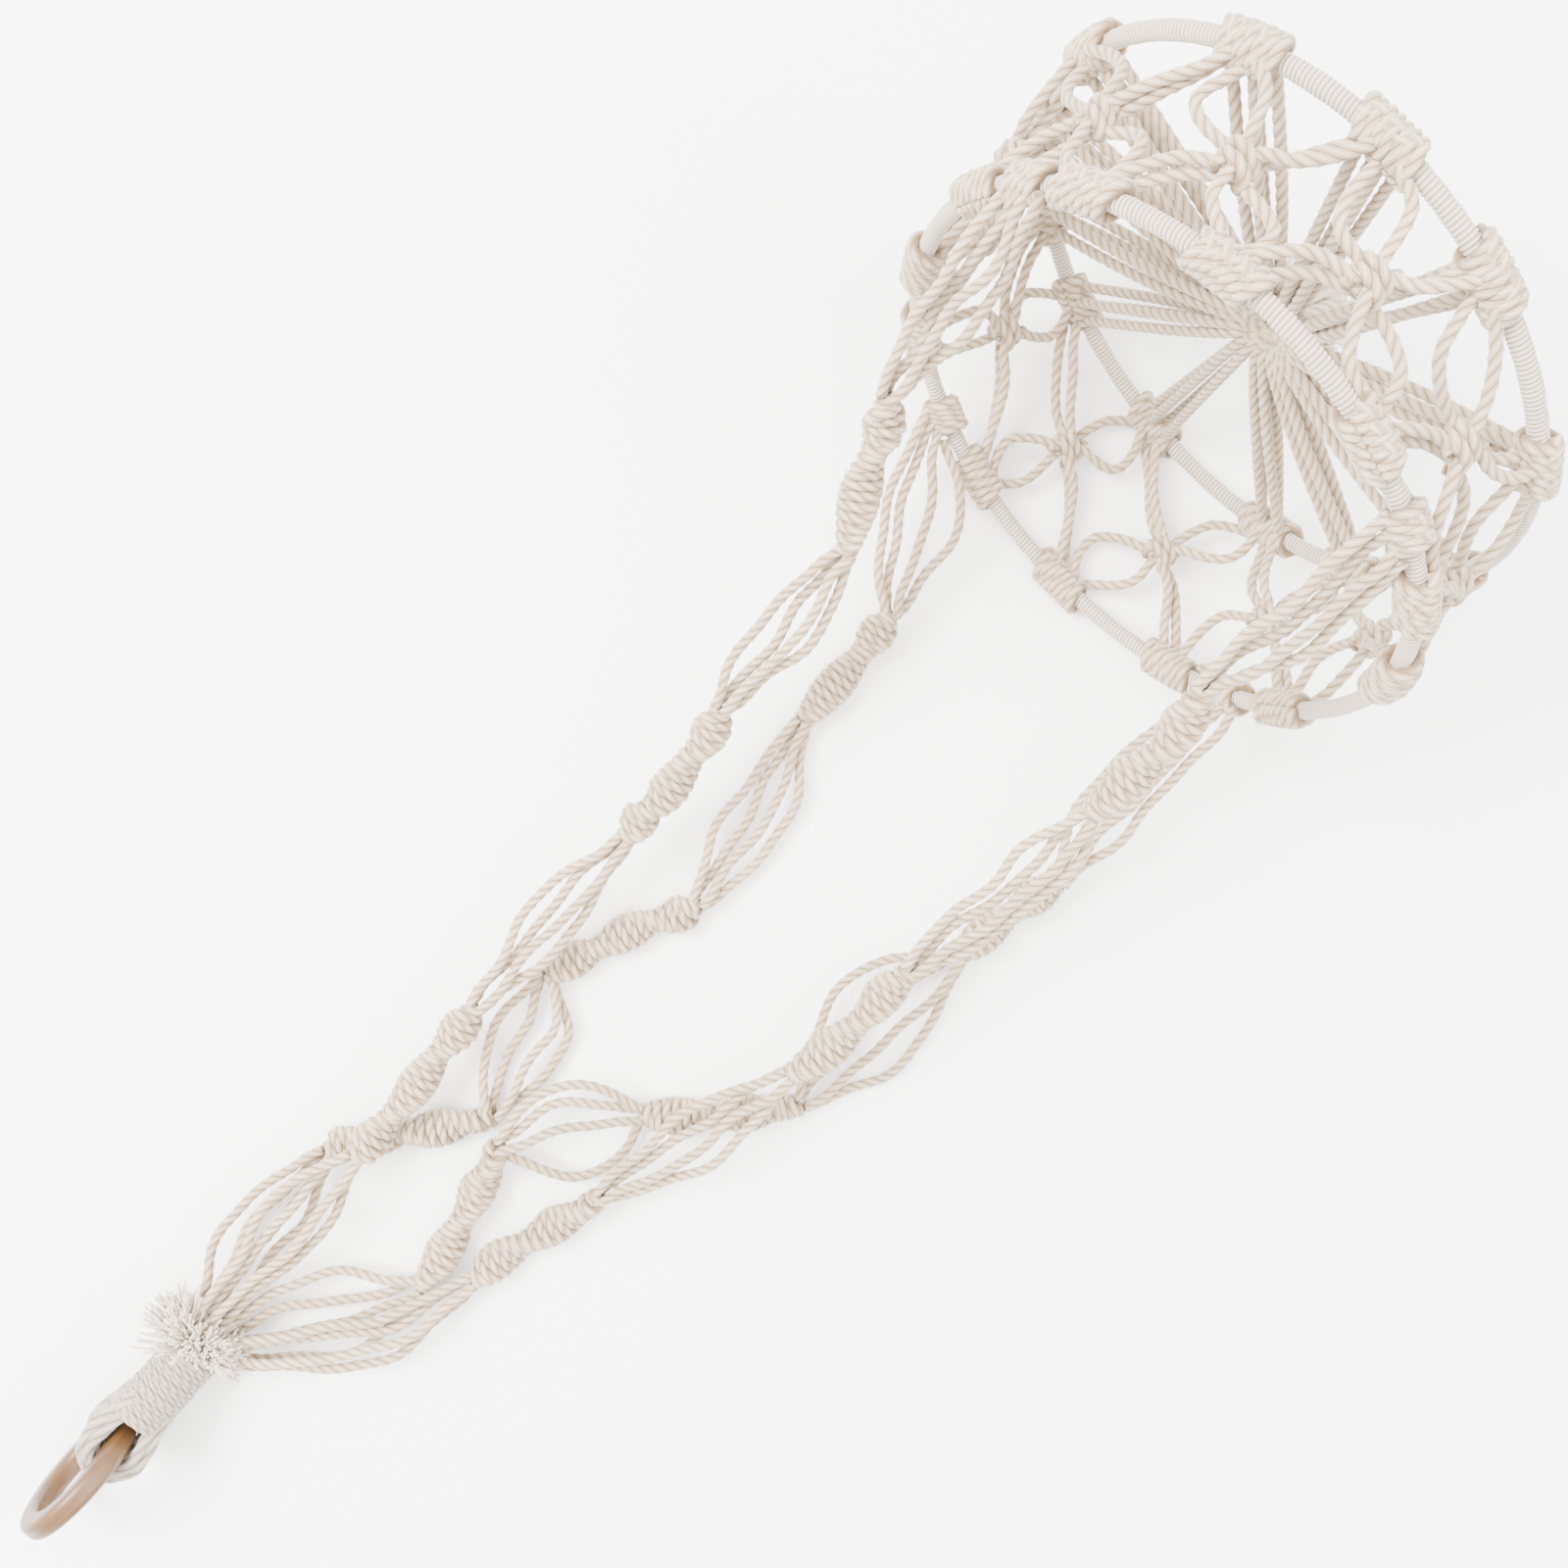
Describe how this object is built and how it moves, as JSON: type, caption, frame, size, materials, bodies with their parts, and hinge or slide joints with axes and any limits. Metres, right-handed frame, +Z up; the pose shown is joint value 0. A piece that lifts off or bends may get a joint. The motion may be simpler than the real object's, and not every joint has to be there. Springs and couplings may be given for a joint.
{
  "type": "hanging macrame planter",
  "caption": "Knotted cotton cord plant hanger with a wooden hanging ring, spiral-knotted arms and an open net basket between two wrapped hoops, laid out on its side",
  "frame": {"origin": "middle of the piece on the table it lies on", "axes": "+X from the wooden ring towards the bottom of the basket, +Z up from the table, +Y sideways"},
  "size_m": [0.6337, 0.221, 0.2104],
  "materials": {
    "cotton_cord": "soft three-strand twisted cotton, natural off-white",
    "wrap_cotton": "cotton cord wound turn against turn",
    "frayed_cotton": "combed-out cotton strands, matt and fluffy",
    "ring_wood": "smooth light wood, faint grain, satin",
    "hoop_metal": "hidden under the wrapping"
  },
  "bodies": {
    "basket": {"upper_hoop": "hoop_metal", "upper_hoop_wrap": "wrap_cotton", "upper_hitches": "cotton_cord", "arm_hitches": "cotton_cord", "net_cords_upper": "cotton_cord"},
    "net_mid": {"net_knots": "cotton_cord"},
    "base": {"lower_hoop": "hoop_metal", "lower_hoop_wrap": "wrap_cotton", "lower_hitches": "cotton_cord", "net_cords_lower": "cotton_cord", "base_cords": "cotton_cord", "base_knot": "cotton_cord", "base_tuft": "frayed_cotton"},
    "arms": {"arm_a_spiral_1": "cotton_cord", "arm_a_spiral_2": "cotton_cord", "arm_a_spiral_3": "cotton_cord", "arm_b_spiral_1": "cotton_cord", "arm_b_spiral_2": "cotton_cord", "arm_b_spiral_3": "cotton_cord", "arm_c_spiral_1": "cotton_cord", "arm_c_spiral_2": "cotton_cord", "arm_c_spiral_3": "cotton_cord", "arm_d_spiral_1": "cotton_cord", "arm_d_spiral_2": "cotton_cord", "arm_d_spiral_3": "cotton_cord", "arm_a_loose_2": "cotton_cord", "arm_a_loose_3": "cotton_cord", "arm_a_loose_4": "cotton_cord", "arm_b_loose_2": "cotton_cord", "arm_b_loose_3": "cotton_cord", "arm_b_loose_4": "cotton_cord", "arm_c_loose_2": "cotton_cord", "arm_c_loose_3": "cotton_cord", "arm_c_loose_4": "cotton_cord", "arm_d_loose_2": "cotton_cord", "arm_d_loose_3": "cotton_cord", "arm_d_loose_4": "cotton_cord"},
    "head": {"head_loop": "cotton_cord", "head_wrap": "wrap_cotton", "head_tuft": "frayed_cotton", "arm_a_loose_1": "cotton_cord", "arm_b_loose_1": "cotton_cord", "arm_c_loose_1": "cotton_cord", "arm_d_loose_1": "cotton_cord"},
    "ring": {"wood_ring": "ring_wood"}
  },
  "joints": [
    {"name": "arms_lift", "type": "hinge", "parent": "basket", "child": "arms", "pos_m": [0.203, 0, 0.008], "axis": [0, 1, 0], "range_deg": [0, 12], "deforming": ["arm_a_loose_4", "arm_b_loose_4", "arm_c_loose_4", "arm_d_loose_4"]},
    {"name": "head_lift", "type": "hinge", "parent": "arms", "child": "head", "pos_m": [-0.15, 0, 0.01], "axis": [0, 1, 0], "range_deg": [0, 40], "deforming": ["arm_a_loose_1", "arm_b_loose_1", "arm_c_loose_1", "arm_d_loose_1"]},
    {"name": "ring_swing", "type": "hinge", "parent": "head", "child": "ring", "pos_m": [-0.2696, -0.0152, 0.0254], "axis": [0, -0.2419, 0.9703], "range_deg": [-30, 20]},
    {"name": "net_fold", "type": "slide", "parent": "basket", "child": "net_mid", "axis": [1, 0, 0], "range_m": [-0.012, 0.004], "deforming": ["net_cords_upper"]},
    {"name": "base_fold", "type": "slide", "parent": "net_mid", "child": "base", "axis": [1, 0, 0], "range_m": [-0.012, 0.004], "deforming": ["net_cords_lower"]}
  ],
  "couplings": [
    {"joint": "base_fold", "follows": "net_fold", "ratio": 1}
  ]
}
